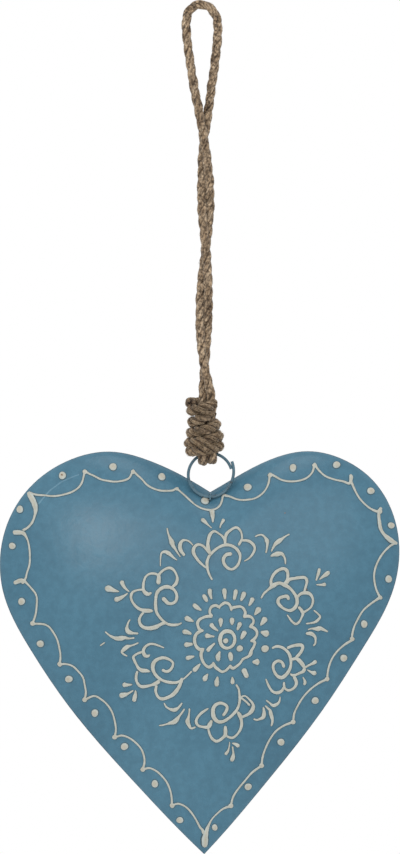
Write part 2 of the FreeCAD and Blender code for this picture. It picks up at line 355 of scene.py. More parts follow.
def noise(tree, vector, scale, detail, roughness):
    return add(tree, "ShaderNodeTexNoise", {"Vector": vector, "Scale": scale, "Detail": detail,
                                           "Roughness": roughness}).outputs["Fac"]


def ramp(tree, factor, stops):
    node = add(tree, "ShaderNodeValToRGB", {"Fac": factor})
    elements = node.color_ramp.elements
    while len(elements) < len(stops):
        elements.new(0.5)
    for element, (place, colour) in zip(elements, stops):
        element.position = place
        element.color = colour
    return node.outputs["Color"]


def mixed(tree, factor, first, second, blend="MIX"):
    return add(tree, "ShaderNodeMix", {0: factor, 6: first, 7: second}, data_type="RGBA",
               blend_type=blend).outputs[2]


def object_place(tree):
    return add(tree, "ShaderNodeTexCoord").outputs["Object"]


def between(tree, value, low, high):
    return add(tree, "ShaderNodeMapRange", {"Value": value, "To Min": low, "To Max": high}).outputs["Result"]


def attribute(tree, name, output):
    return add(tree, "ShaderNodeAttribute", attribute_name=name).outputs[output]


def bump(tree, shader, height, strength, distance):
    node = add(tree, "ShaderNodeBump", {"Height": height, "Strength": strength, "Distance": distance})
    tree.links.new(node.outputs["Normal"], shader.inputs["Normal"])


def jute_material():
    """Jute: light and dark fibres, dirty patches, fine specks and painted shade in the grooves between the
    strands.
    """
    material, tree, shader = new_material("jute")
    place = object_place(tree)
    streaks = noise(tree, attribute(tree, "fibre", "Vector"), 3.2, 4.0, 0.65)
    colour = ramp(tree, streaks, [(0.25, srgb(88, 71, 53)), (0.45, srgb(127, 109, 89)),
                                  (0.6, srgb(156, 139, 117)), (0.78, srgb(188, 172, 150))])
    patches = ramp(tree, noise(tree, place, 210.0, 3.0, 0.6),
                   [(0.34, (0.3, 0.25, 0.2, 1.0)), (0.46, (0.8, 0.77, 0.73, 1.0)), (0.62, WHITE)])
    specks = ramp(tree, noise(tree, place, 820.0, 2.0, 0.5), [
        (0.36, (0.4, 0.37, 0.34, 1.0)), (0.5, (1.02, 1.01, 1.0, 1.0)), (0.66, (1.75, 1.72, 1.66, 1.0))])
    # Painted shade in the grooves between the strands, where the strands shade each other
    deep = ramp(tree, attribute(tree, "groove", "Fac"), [(0.0, (0.22, 0.17, 0.13, 1.0)), (0.8, WHITE)])
    for factor, layer in ((0.9, patches), (1.0, specks), (1.0, deep)):
        colour = mixed(tree, factor, colour, layer, "MULTIPLY")
    feed(tree, shader, {"Base Color": colour, "Roughness": 0.82, "Specular IOR Level": 0.25,
                        "Sheen Weight": 0.15})
    bump(tree, shader, streaks, 0.8, 0.0005)
    return material


def fuzz_material():
    material, tree, shader = new_material("jute_fuzz")
    colour = ramp(tree, attribute(tree, "shade", "Fac"), [(0.0, srgb(96, 76, 54)), (0.5, srgb(156, 134, 106)),
                                                          (1.0, srgb(205, 188, 160))])
    feed(tree, shader, {"Base Color": colour, "Roughness": 0.75, "Specular IOR Level": 0.25})
    return material


def paint_material(name, base, dark, light, worn=0.0):
    """Satin paint with faint mottling and brush marks, and with bare spots where it is worn."""
    material, tree, shader = new_material(name)
    place = object_place(tree)
    broad = noise(tree, place, 22.0, 3.0, 0.5)
    fine = noise(tree, place, 260.0, 4.0, 0.6)
    colour = ramp(tree, broad, [(0.3, dark), (0.5, base), (0.72, light)])
    grain = ramp(tree, fine, [(0.35, (0.9, 0.9, 0.9, 1.0)), (0.65, (1.06, 1.05, 1.04, 1.0))])
    colour = mixed(tree, 1.0, colour, grain, "MULTIPLY")
    if worn:
        bare = ramp(tree, noise(tree, place, 480.0, 5.0, 0.7),
                    [(0.62 - worn, (0.0, 0.0, 0.0, 1.0)), (0.66 - worn, WHITE)])
        colour = mixed(tree, bare, colour, srgb(58, 62, 64))
    feed(tree, shader, {"Base Color": colour, "Roughness": between(tree, fine, 0.23, 0.31),
                        "Specular IOR Level": 0.28})
    bump(tree, shader, mixed(tree, 0.25, broad, fine), 0.25, 0.0012)
    return material


def spotted_material(name, scale, detail, rough, stops, surface, relief):
    """Metal with fine spots: solder, or rust where the paint has come off."""
    material, tree, shader = new_material(name)
    spots = noise(tree, object_place(tree), scale, detail, rough)
    feed(tree, shader, {"Base Color": ramp(tree, spots, stops), **surface})
    bump(tree, shader, spots, relief, 0.0003)
    return material


blue_paint = paint_material("blue_paint", srgb(65, 106, 126), srgb(62, 102, 122), srgb(69, 110, 130))
bead_paint = paint_material("bead_paint", srgb(60, 92, 109), srgb(48, 76, 91), srgb(72, 106, 124), 0.02)
wire_paint = paint_material("wire_paint", srgb(66, 94, 108), srgb(50, 72, 84), srgb(88, 118, 132), 0.05)
jute = jute_material()
jute_fuzz = fuzz_material()
solder = spotted_material("solder", 700.0, 3.0, 0.55,
                          [(0.3, srgb(120, 120, 118)), (0.7, srgb(170, 170, 168))],
                          {"Metallic": 0.9, "Roughness": 0.45}, 0.4)
for name, material in (("front_shell", blue_paint), ("back_shell", blue_paint), ("seam_bead", bead_paint),
                       ("ring_staple", wire_paint), ("hanging_ring", wire_paint), ("staple_solder", solder)):
    data = nodes[name].data
    data.materials.clear()
    data.materials.append(material)

# The free rope
HANGER_FULLER = 1.1
HANGER_FIBRES = 2600
route_line = nurbs_points("rope_line", [Vector(point) * MM for point in rope_route])
rope = rope_mesh("rope_hanger_strands", route_line, 3, jute, HANGER_FULLER)
rope_fuzz = fuzz_mesh("rope_hanger_fuzz", route_line, HANGER_FIBRES, 5, jute_fuzz)
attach(rope, "rope")
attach(rope_fuzz, "rope")
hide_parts("rope_hanger")

# The eye's two strands, in millimetres: heights inside the knot, the bight's radius and the tail's height
EYE_TOP = -203.3
EYE_STRAIGHT = -209.4
EYE_BENT = -217.8
BIGHT = 3.55
TAIL = -217.5
# How far out the control points of the bight's curve lie, as shares of its radius: beside and below
BIGHT_BESIDE = 0.84
BIGHT_BELOW = 1.08
EYE_FULLER = 1.2
# How much darker the knot's strands are made, in patches
KNOT_DARKENING = 0.3


def eye_route(x, bight_height):
    """Down inside the knot, under the ring's wire and a short way up behind."""
    beside = BIGHT * BIGHT_BESIDE
    return [(x, 0.0, EYE_TOP), (x, 0.0, EYE_STRAIGHT), (x, -BIGHT, EYE_BENT), (x, -BIGHT, bight_height),
            (x, -beside, bight_height - beside), (x, 0.0, bight_height - BIGHT * BIGHT_BELOW),
            (x, beside, bight_height - beside), (x, BIGHT, bight_height), (x, BIGHT, TAIL)]


knot_pieces = []
for index, route in enumerate((eye_route(0.8, -223.76), eye_route(5.2, -223.18))):
    line = nurbs_points("eye_line", [Vector(point) * MM for point in route])
    strand = rope_mesh("rope_eye_strands_" + str(index), line, 11 + index, jute, EYE_FULLER, KNOT_DARKENING,
                       ply=LOOSE_PLY)
    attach(strand, "rope")
    knot_pieces.append(strand)
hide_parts("rope_eye")

# The winding of the knot: a wide body, a narrow neck and a collar
ALL_TURNS = 5.3
WRAP_POINTS = 67
WRAP_FIBRES = 3200
WRAP_FULLER = 1.23
# How far the turns wander, sag in front and slant, in millimetres
WRAP_WANDER = 0.3
WRAP_SAG = 0.5
WRAP_SLANT = 0.55
# Turns; then half the width, half the depth, the height and the side of the winding's middle, in millimetres
WRAP_SHAPE = [(0.0, 6.0, 7.4, -223.3, 1.4), (0.3, 6.9, 7.8, -221.9, 1.4), (0.7, 7.6, 8.0, -220.4, 1.7),
              (1.3, 7.8, 8.0, -217.7, 1.5), (2.2, 6.8, 7.2, -213.0, 1.1), (2.75, 6.2, 6.8, -209.6, 1.2),
              (3.25, 5.4, 6.4, -207.5, 0.9), (3.75, 4.3, 6.0, -202.9, 0.5), (4.25, 5.2, 6.2, -201.6, 0.3),
              (4.75, 5.9, 6.2, -199.2, -0.2), (5.3, 5.6, 5.6, -197.4, -0.6)]


def wrap_point(turns):
    """Where the winding is after that many turns from its lower end."""
    for first, last in zip(WRAP_SHAPE, WRAP_SHAPE[1:]):
        if turns <= last[0] or last is WRAP_SHAPE[-1]:
            share = min(1.0, (turns - first[0]) / (last[0] - first[0]))
            width, depth, height, middle = [a + (b - a) * share for a, b in zip(first[1:], last[1:])]
            break
    angle = math.radians(90.0) + math.tau * turns
    front = max(0.0, -math.sin(angle))
    unsteady = WRAP_WANDER * math.sin(4.3 * turns + 1.0)
    slant = WRAP_SLANT * math.cos(angle - 0.5) * math.sin(0.5 * math.pi * min(1.0, turns))
    return Vector((middle + (width + unsteady) * math.cos(angle), depth * math.sin(angle),
                   height - WRAP_SAG * front + 0.4 * unsteady + slant)) * MM


wrap_line = nurbs_points("wrap_line", [wrap_point(ALL_TURNS * index / (WRAP_POINTS - 1))
                                       for index in range(WRAP_POINTS)])
wraps = rope_mesh("rope_wraps_strands", wrap_line, 23, jute, WRAP_FULLER, KNOT_DARKENING, WRAP_LAY, LOOSE_PLY)
wraps_fuzz = fuzz_mesh("rope_wraps_fuzz", wrap_line, WRAP_FIBRES, 29, jute_fuzz, WRAP_FULLER, WRAP_LAY,
                       LOOSE_PLY)
for piece in (wraps, wraps_fuzz):
    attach(piece, "rope")
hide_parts("rope_wraps")
knot_pieces += [wraps, wraps_fuzz, rope_fuzz]

# Piped paint, placed by the photograph: runs of x,y,width in tenths of a pixel, point after point
TENTHS = 10
BORDER = [
    (1770,4890,24, 1800,4915,18, 1852,4961,18, 1905,5010,20, 1945,5044,14, 2000,5078,18, 2055,5096,20,
     2108,5103,22, 2160,5089,20, 2200,5056,20, 2220,5008,20, 2230,4964,22, 2250,4952,26),
    (2250,4956,28, 2300,4968,20, 2350,4988,18, 2400,5000,18, 2460,5000,18, 2550,4984,18, 2630,4930,18,
     2682,4845,19, 2700,4740,26),
    (2700,4740,28, 2750,4765,21, 2830,4805,19, 2940,4815,19, 3053,4788,19, 3122,4725,20, 3145,4640,26),
    (3145,4640,28, 3180,4695,21, 3250,4760,19, 3340,4795,19, 3430,4815,20, 3495,4835,30, 3510,4780,38,
     3506,4756,32),
    (3505,4800,26, 3540,4885,22, 3585,4970,19, 3645,5040,19, 3710,5090,19, 3775,5115,32, 3806,5086,34),
    (3800,5100,30, 3786,5140,32, 3792,5220,35, 3805,5290,35, 3835,5340,32, 3875,5380,44, 3910,5408,52,
     3960,5435,30),
    (3955,5430,22, 3900,5460,22, 3835,5525,20, 3786,5600,20, 3750,5690,20, 3740,5780,20, 3760,5890,20,
     3800,5975,24),
    (3795,5975,28, 3760,6000,24, 3696,6045,20, 3630,6105,19, 3580,6186,19, 3540,6270,19, 3520,6350,22,
     3520,6400,24),
    (3520,6400,26, 3440,6450,21, 3365,6520,19, 3310,6605,19, 3280,6700,20, 3270,6790,24),
    (3270,6790,26, 3180,6835,21, 3090,6905,19, 3020,6985,19, 2970,7070,19, 2940,7140,20, 2930,7220,24),
    (2930,7220,26, 2840,7255,21, 2760,7310,19, 2700,7390,19, 2655,7480,19, 2625,7570,20, 2615,7656,24),
    (2615,7656,26, 2520,7725,21, 2450,7806,19, 2380,7890,19, 2330,7970,20, 2307,8060,24),
    (2307,8060,26, 2235,8085,20, 2177,8130,16, 2120,8190,16, 2084,8256,26, 2064,8310,44, 2050,8370,60,
     2046,8425,64, 2045,8450,56),
    (2040,8330,36, 2023,8295,28, 2000,8270,21, 1960,8195,19, 1910,8120,19, 1860,8070,19, 1800,8040,19,
     1760,8040,20, 1720,8060,24),
    (1720,8060,26, 1718,7990,20, 1706,7915,19, 1670,7825,19, 1610,7750,19, 1555,7705,19, 1490,7680,19,
     1426,7697,24),
    (1426,7697,24, 1445,7630,22, 1440,7560,20, 1410,7485,19, 1350,7420,19, 1285,7375,19, 1215,7355,20,
     1146,7376,24),
    (1146,7376,26, 1160,7300,20, 1150,7220,19, 1125,7130,19, 1080,7055,19, 1015,6995,19, 940,6960,20,
     846,7000,24),
    (846,7000,26, 860,6930,20, 850,6860,19, 830,6775,19, 780,6710,19, 725,6660,19, 655,6640,20, 596,6646,24),
    (596,6646,26, 605,6580,20, 600,6510,19, 570,6390,19, 510,6290,19, 470,6255,19, 420,6240,20, 325,6237,24),
    (325,6237,24, 350,6170,20, 364,6100,20, 370,5990,19, 355,5935,19, 320,5890,19, 285,5850,20, 235,5805,34,
     195,5810,46, 155,5826,44),
    (240,5816,24, 260,5775,20, 270,5730,19, 295,5650,19, 300,5570,19, 295,5485,19, 280,5410,19, 260,5365,24,
     235,5334,42, 195,5326,50, 150,5326,48),
    (235,5303,26, 280,5275,24, 320,5230,23, 345,5170,24, 358,5100,42, 346,5040,58, 318,4980,62, 290,4935,40),
    (295,4928,26, 340,4944,23, 390,4952,20, 450,4955,19, 510,4962,19, 570,4960,19, 645,4945,19, 725,4918,19,
     790,4872,19, 826,4810,20, 848,4706,22),
    (848,4706,24, 885,4735,20, 940,4760,19, 1010,4795,19, 1080,4810,19, 1150,4818,19, 1220,4810,19,
     1270,4795,20, 1300,4770,21, 1330,4706,22),
    (1330,4706,24, 1365,4745,20, 1420,4795,19, 1470,4850,19, 1530,4885,19, 1600,4907,19, 1670,4910,20,
     1725,4906,21, 1767,4885,22),
]
FLOWERS = [
    (2025,5200,40, 2050,5220,36, 2080,5250,18, 2115,5280,12),
    (2120,5115,55, 2125,5150,48, 2128,5185,32, 2128,5220,18),
    (2235,5203,36, 2223,5225,26, 2208,5250,18, 2200,5278,14),
    (2065,5680,20, 2020,5645,24, 1970,5590,30, 1935,5530,38, 1940,5480,34, 1975,5448,32, 2020,5455,26,
     2060,5490,26, 2090,5530,28),
    (2100,5530,26, 2080,5470,38, 2080,5420,36, 2095,5360,36, 2120,5325,30, 2150,5315,26, 2190,5338,20,
     2225,5365,24, 2245,5400,26, 2252,5440,28),
    (2252,5430,30, 2253,5380,32, 2270,5335,32, 2310,5300,28, 2350,5278,26, 2380,5282,26, 2410,5320,22,
     2420,5370,22, 2415,5400,24, 2390,5445,28),
    (2410,5405,24, 2460,5405,28, 2500,5418,30, 2535,5450,32, 2548,5490,28, 2530,5535,24, 2495,5580,20,
     2445,5610,12),
    (2120,5795,18, 2095,5750,22, 2078,5700,28, 2070,5630,32, 2085,5575,30, 2110,5540,28, 2145,5505,28,
     2200,5468,30, 2260,5450,32, 2320,5460,32, 2370,5495,32, 2400,5550,30, 2395,5610,26, 2370,5660,28,
     2320,5694,28, 2270,5675,30, 2238,5630,34, 2236,5585,38, 2265,5548,36, 2305,5540,40),
    (1075,5885,65, 1100,5890,60, 1140,5905,40, 1185,5915,18),
    (1220,5825,50, 1235,5860,36, 1260,5890,24, 1290,5915,14),
    (1165,5995,56, 1200,5983,44, 1235,5963,28, 1275,5935,16),
    (1585,5825,50, 1588,5785,46, 1590,5750,30, 1615,5718,26, 1655,5690,28, 1700,5680,30, 1740,5705,26,
     1765,5750,24, 1773,5790,30, 1760,5835,36, 1730,5865,32),
    (1590,5755,28, 1550,5738,26, 1500,5738,24, 1460,5765,24, 1440,5810,24, 1433,5860,30, 1435,5900,36,
     1455,5930,42, 1485,5942,36, 1510,5930,22),
    (1430,5898,24, 1380,5900,20, 1330,5920,26, 1310,5960,28, 1320,6010,26, 1355,6060,28, 1400,6093,32,
     1450,6107,46, 1490,6108,42, 1520,6110,28),
    (1440,6120,22, 1410,6155,26, 1393,6200,32, 1405,6245,32, 1440,6275,36, 1500,6283,44, 1560,6270,44,
     1610,6243,36, 1650,6228,40),
    (1815,6230,14, 1780,6246,24, 1720,6250,30, 1670,6238,30, 1630,6208,26, 1595,6170,30, 1565,6120,32,
     1556,6060,34, 1558,5990,32, 1570,5930,34, 1605,5890,38, 1655,5869,40, 1710,5878,34, 1750,5910,30,
     1768,5960,30, 1758,6010,32, 1720,6036,32, 1680,6032,36, 1655,6008,40, 1636,5988,44),
    (2715,5860,34, 2710,5805,30, 2735,5748,32, 2780,5705,32, 2835,5687,36, 2870,5710,34, 2878,5760,32,
     2870,5805,34, 2845,5840,36),
    (2865,5830,34, 2895,5795,36, 2940,5785,32, 3000,5776,32, 3050,5778,34, 3068,5810,32, 3062,5850,24,
     3050,5890,26, 3045,5920,28),
    (2975,5970,30, 3005,5940,32, 3050,5928,36, 3095,5938,36, 3123,5975,28, 3128,6020,24, 3110,6070,22,
     3070,6103,22, 3035,6123,26),
    (2990,6075,30, 3015,6105,34, 3028,6138,34, 3015,6175,22, 2990,6220,24, 2955,6240,26, 2915,6210,24,
     2890,6175,18, 2872,6150,12),
    (2613,5980,16, 2640,5935,22, 2685,5895,26, 2730,5858,46, 2790,5832,36, 2845,5850,44, 2895,5880,32,
     2935,5925,32, 2965,5975,36, 2970,6030,38, 2950,6075,38, 2905,6105,32, 2855,6095,28, 2810,6065,30,
     2780,6025,36, 2790,5985,36, 2830,5968,34, 2870,5965,38, 2884,5988,34),
    (3192,5695,32, 3185,5730,36, 3172,5770,24, 3162,5803,16),
    (3280,5728,46, 3260,5745,44, 3230,5765,30, 3195,5795,14),
    (3245,5845,38, 3220,5848,26, 3190,5848,18, 3165,5848,12),
    (1637,6477,14, 1590,6458,20, 1540,6442,22, 1500,6441,26, 1462,6460,28, 1438,6492,30, 1435,6525,36,
     1453,6557,42, 1480,6562,30, 1493,6552,20),
    (1414,6523,26, 1370,6539,24, 1335,6568,26, 1342,6600,28, 1364,6645,26, 1386,6682,34, 1420,6704,40,
     1460,6707,40, 1493,6714,24),
    (1373,6718,26, 1363,6756,28, 1363,6800,28, 1380,6839,30, 1412,6865,32, 1460,6864,32, 1510,6852,28,
     1550,6839,40, 1586,6817,40),
    (1564,6860,28, 1557,6900,28, 1563,6936,28, 1587,6975,30, 1625,6989,34, 1675,6976,36, 1730,6946,42,
     1775,6894,40, 1800,6848,38, 1819,6790,32),
    (1815,6803,26, 1790,6817,30, 1750,6827,30, 1690,6823,32, 1632,6807,30, 1588,6781,32, 1550,6740,34,
     1530,6694,40, 1530,6650,42, 1550,6612,40, 1588,6588,36, 1638,6578,32, 1692,6595,28, 1728,6626,26,
     1726,6662,26, 1702,6700,30, 1665,6716,32, 1629,6702,30),
    (1244,6848,48, 1275,6850,32, 1318,6846,16), (1218,6954,60, 1250,6946,50, 1278,6937,26, 1329,6908,16),
    (1343,6998,50, 1350,6965,44, 1356,6935,30, 1355,6907,14), (1915,6715,16, 1875,6755,18, 1833,6793,16),
    (2725,6480,22, 2765,6464,28, 2810,6471,28, 2850,6494,30, 2881,6525,32, 2900,6565,32, 2909,6620,30,
     2903,6673,30, 2881,6720,34, 2850,6756,40, 2816,6776,40, 2775,6762,32, 2744,6720,30, 2730,6670,30,
     2742,6632,30, 2780,6609,32, 2819,6624,32, 2838,6667,30),
    (2878,6478,28, 2920,6461,32, 2972,6451,34, 3013,6452,36, 3026,6477,36, 3012,6514,32, 2987,6548,32,
     2962,6573,30),
    (2912,6595,30, 2958,6587,34, 2992,6606,42, 3023,6643,42, 3044,6676,36),
    (3044,6690,34, 3029,6715,36, 2994,6731,28, 2953,6750,26, 2923,6752,26, 2905,6741,20),
    (2940,6770,30, 2958,6805,36, 2962,6838,34, 2944,6874,28, 2913,6896,24, 2880,6903,26, 2850,6885,26,
     2839,6850,26, 2840,6826,20),
    (2835,6875,26, 2820,6903,28, 2795,6922,32, 2760,6928,32, 2724,6914,28, 2698,6880,24, 2677,6838,22,
     2659,6792,14),
    (3051,6674,22, 3098,6647,22, 3130,6633,32, 3152,6617,40),
    (3075,6700,14, 3106,6718,22, 3130,6728,44, 3144,6730,48),
    (3030,6775,14, 3043,6800,22, 3049,6822,34, 3042,6843,24),
    (2363,6850,20, 2386,6890,22, 2394,6940,24, 2397,6995,28, 2389,7048,28, 2368,7098,30, 2326,7148,32,
     2280,7187,32, 2227,7216,34, 2180,7216,40, 2144,7183,44, 2130,7138,44, 2134,7082,42, 2162,7045,34,
     2205,7031,32, 2250,7046,32, 2272,7075,32, 2258,7118,32, 2235,7150,32),
    (2412,6980,24, 2455,7012,20, 2493,7050,24),
    (2415,6968,20, 2452,6960,16, 2494,6996,20, 2528,7040,30, 2530,7078,40, 2513,7113,42, 2480,7143,32,
     2425,7169,28),
    (2378,7124,28, 2399,7158,42, 2412,7200,34, 2415,7250,32, 2400,7300,26, 2370,7345,24, 2328,7377,26,
     2290,7373,24, 2270,7362,24),
    (2253,7270,30, 2254,7310,42, 2252,7350,42, 2236,7370,30),
    (2237,7370,32, 2200,7400,32, 2162,7412,30, 2125,7390,28, 2100,7350,26, 2088,7310,24, 2083,7285,20),
    (2113,7213,34, 2099,7244,44, 2080,7271,40, 2035,7270,28, 1986,7258,26, 1963,7225,30, 1968,7188,30,
     1999,7145,28, 2037,7114,26, 2080,7087,18),
    (2296,7422,12, 2292,7464,14, 2283,7502,20, 2270,7525,30, 2259,7537,36),
    (2326,7470,18, 2329,7505,18, 2333,7536,26, 2329,7570,44, 2319,7598,42),
    (2325,7433,16, 2352,7441,30, 2378,7456,46),
]
LEAVES = [
    (1672,5285,16, 1680,5330,18, 1695,5370,26, 1715,5415,50, 1730,5455,46, 1755,5495,24, 1780,5535,18,
     1803,5568,12),
    (1604,5660,12, 1604,5610,12, 1608,5560,16, 1618,5528,22, 1650,5518,34, 1680,5530,44, 1710,5553,32,
     1740,5580,20, 1768,5600,12),
    (1930,5453,10, 1895,5418,18, 1860,5403,20, 1825,5408,30, 1803,5440,38, 1800,5480,44, 1813,5515,40,
     1840,5550,30),
    (2555,5365,16, 2585,5352,18, 2620,5350,20, 2648,5373,22, 2670,5410,46, 2673,5445,30, 2668,5490,18,
     2660,5525,18),
    (2890,5345,18, 2855,5363,18, 2820,5390,30, 2785,5415,50, 2755,5440,40, 2730,5480,22, 2715,5512,14),
    (2712,5560,20, 2740,5548,38, 2780,5540,52, 2815,5538,40, 2840,5565,24, 2852,5600,20, 2853,5638,14),
    (1300,6197,14, 1283,6225,18, 1273,6260,24, 1270,6290,40, 1285,6318,50, 1320,6330,36, 1345,6333,22,
     1375,6335,22),
    (1055,6320,16, 1090,6350,18, 1130,6373,30, 1170,6385,46, 1210,6383,50, 1250,6378,36, 1290,6385,22,
     1340,6380,18),
    (1380,6430,16, 1340,6448,18, 1300,6460,24, 1270,6470,44, 1235,6500,40, 1218,6520,26, 1238,6543,20,
     1270,6560,14),
    (1005,6455,14, 1045,6427,14),
    (3140,6105,14, 3170,6130,18, 3200,6164,22, 3185,6193,28, 3155,6218,26, 3115,6230,20, 3065,6237,16),
    (3082,6296,14, 3115,6286,18, 3145,6288,30, 3175,6288,48, 3205,6284,44, 3240,6299,28, 3273,6315,18),
    (3070,6335,32, 3105,6335,44, 3133,6350,36, 3152,6375,26, 3155,6410,20, 3152,6435,20, 3136,6455,18),
    (2665,7005,16, 2695,7030,20, 2722,7052,30, 2742,7054,38, 2772,7039,28, 2792,7015,22, 2799,6985,14,
     2800,6968,10),
    (2655,7060,18, 2680,7085,22, 2699,7105,30, 2706,7135,40, 2716,7168,40, 2723,7200,28, 2721,7230,22,
     2713,7257,16),
    (2634,7078,20, 2638,7105,30, 2639,7140,42, 2630,7172,40, 2604,7187,26, 2569,7199,22, 2539,7191,18),
    (1895,7090,18, 1892,7130,18, 1885,7175,28, 1876,7214,46, 1892,7257,38, 1914,7284,24, 1952,7272,16),
    (1842,7093,18, 1820,7127,20, 1790,7165,28, 1768,7196,48, 1740,7220,46, 1704,7230,36, 1671,7240,20,
     1630,7251,16, 1595,7256,14),
    (1643,7034,16, 1662,7068,18, 1693,7088,22, 1723,7098,36, 1750,7098,46, 1780,7081,28, 1800,7058,22,
     1819,7033,16),
]
MEDALLION = [
    (2193,6082,20, 2198,6063,28, 2220,6045,30, 2250,6029,30, 2285,6038,30, 2306,6068,30, 2313,6100,26),
    (2310,6095,24, 2330,6077,30, 2365,6070,30, 2400,6066,28, 2430,6080,28, 2450,6115,28, 2452,6140,30,
     2440,6168,30),
    (2443,6167,34, 2480,6162,32, 2513,6172,28, 2534,6200,26, 2532,6230,28, 2515,6253,32, 2502,6268,28),
    (2502,6268,30, 2535,6278,32, 2564,6307,30, 2570,6343,28, 2553,6378,30, 2525,6405,34, 2513,6410,28),
    (2525,6403,34, 2548,6428,32, 2536,6468,26, 2515,6505,30, 2504,6540,42, 2485,6564,30, 2445,6583,24,
     2423,6596,26),
    (2425,6595,24, 2400,6633,26, 2360,6667,26, 2327,6683,32, 2305,6665,34),
    (2305,6658,28, 2283,6682,26, 2253,6708,26, 2220,6718,28, 2187,6698,30, 2153,6670,32, 2133,6630,28),
    (2135,6635,30, 2115,6660,36, 2088,6672,32, 2055,6652,28, 2028,6615,32, 2013,6570,32, 2012,6530,36,
     2030,6493,32),
    (2033,6492,30, 1998,6495,36, 1965,6467,34, 1947,6425,36, 1947,6380,36, 1963,6343,32, 1990,6320,36,
     2028,6307,26),
    (2025,6306,26, 1995,6293,34, 1980,6260,32, 1976,6228,34, 1995,6197,30, 2030,6177,28, 2070,6165,34,
     2115,6163,32),
    (2113,6160,36, 2098,6130,28, 2100,6096,28, 2118,6068,30, 2155,6055,30, 2185,6068,30),
    (2040,5960,42, 2053,5983,44, 2067,6008,34), (2098,5905,46, 2100,5940,42, 2115,5985,22),
    (2243,5903,48, 2246,5940,44, 2250,5985,26), (2358,5913,48, 2352,5950,42, 2342,5990,30),
    (2440,5937,50, 2427,5970,44, 2413,6000,30), (2523,5995,50, 2510,6023,40, 2492,6053,22),
    (2586,6095,60, 2570,6118,50, 2550,6143,26), (2646,6195,60, 2630,6220,50, 2608,6248,24),
    (2662,6336,70, 2640,6330,60, 2620,6323,36), (2568,6620,66, 2540,6620,40), (2440,6705,54, 2465,6760,52),
    (2325,6825,46, 2325,6800,36, 2323,6775,18), (2167,6845,52, 2168,6815,48, 2175,6775,24),
    (2047,6793,50, 2058,6770,44, 2076,6743,18), (1945,6700,48, 1965,6680,44, 2000,6642,18),
    (1878,6580,52, 1905,6573,40, 1937,6565,20), (1863,6448,56, 1890,6445,44, 1916,6442,34),
    (1845,6318,54, 1875,6324,46, 1908,6338,24), (1868,6183,54, 1898,6198,44, 1930,6212,22),
    (1946,6055,50, 1970,6075,46, 2008,6100,22), (2207,6200,50, 2208,6230,42, 2207,6263,20),
    (2320,6198,52, 2320,6220,44, 2320,6240,30), (2398,6240,50, 2388,6265,40, 2375,6295,24),
    (2443,6330,54, 2430,6355,50, 2415,6383,30), (2302,6535,38, 2306,6565,52, 2310,6595,40),
    (2182,6595,44, 2180,6565,50, 2197,6520,24), (2082,6500,46, 2100,6478,40, 2145,6435,18),
    (2070,6358,54, 2100,6362,34, 2140,6365,18), (2116,6252,50, 2135,6275,40, 2178,6307,16),
    (2200,6390,46, 2212,6348,44, 2240,6320,42, 2275,6312,42, 2313,6322,40, 2338,6352,36, 2348,6395,34,
     2338,6438,34, 2312,6468,32, 2273,6482,32, 2234,6470,34, 2209,6438,40, 2200,6396,46),
]
# Single drops
BORDER_DOTS = [1130,4670,74, 1617,4770,72, 625,4757,74, 200,5095,70, 124,5460,66, 217,6014,70, 2050,5010,76,
               2478,4874,74, 2930,4680,72, 3365,4650,70, 3707,4910,70, 3910,5255,64, 3884,5790,70,
               3640,6240,70, 405,6437,70, 690,6790,72, 950,7130,72, 1246,7465,72, 1550,7837,70, 1800,8200,66,
               3436,6580,70, 3150,7005,70, 2808,7420,70, 2480,7867,70, 2146,8274,60]
# Where two scallops of the border meet, as drops
BORDER_CUSPS = [2700,4755,42, 3145,4655,42, 3800,5115,44, 3950,5430,34, 3800,5975,42, 3520,6390,44,
                3270,6790,44, 2930,7220,46, 2615,7656,46, 2307,8058,48, 1723,8055,48, 1430,7693,48,
                1148,7370,48, 848,6996,48, 598,6642,46, 328,6234,48, 230,5816,44, 850,4720,46, 1330,4720,42,
                1770,4890,34]
INNER_DOTS = [2650,6487,74, 2397,6485,64, 2257,6409,52]
# How much wider than given a stroke and a drop are made, in pixels
STROKE_SPREAD = 0.1
DROP_SPREAD = 0.5
STROKE_STEP = 0.36 * MM
STROKE_SIDES = 10
# How far a stroke goes on beyond its last point, in widths, and the parts of its curve between points
TIP_REACH = 0.42
CURVE_PARTS = 8
# A stroke's height as a share of its width, its limit, and the depth and width of the groove along it
STROKE_RISE = (0.36, 0.44)
STROKE_LIMIT = 1.15 * MM
STROKE_GROOVE = (0.14, 0.34)
DROP_RINGS = 9
DROP_SPOKES = 28
# A drop's height as a share of half its width, and the depth and width of its dimple
DROP_RISE = (0.42, 0.52)
DIMPLE = (0.13, 0.3)
# How deep the paint's edge is sunk in the sheet, and the thin dark fillet round it, which is painted shadow
# at the paint's foot
SUNK = 0.1 * MM
SHADOW_SKIRT = 0.42 * MM
SKIRT_RISE = 0.07 * MM

front_mesh = nodes["front_shell"].data
heart_face = BVHTree.FromPolygons([v.co.copy() for v in front_mesh.vertices],
                                  [tuple(p.vertices) for p in front_mesh.polygons])


def on_heart(x, y):
    """The place on the heart's front that a pixel of the photograph shows, and the way out of the sheet."""
    aim = photo_point(x, y)
    place, normal, _, _ = heart_face.ray_cast(camera.location, (aim - camera.location).normalized())
    if place is None:
        place, normal, _, _ = heart_face.find_nearest(aim)
    if normal.y > 0.0:
        normal = -normal
    return place, normal


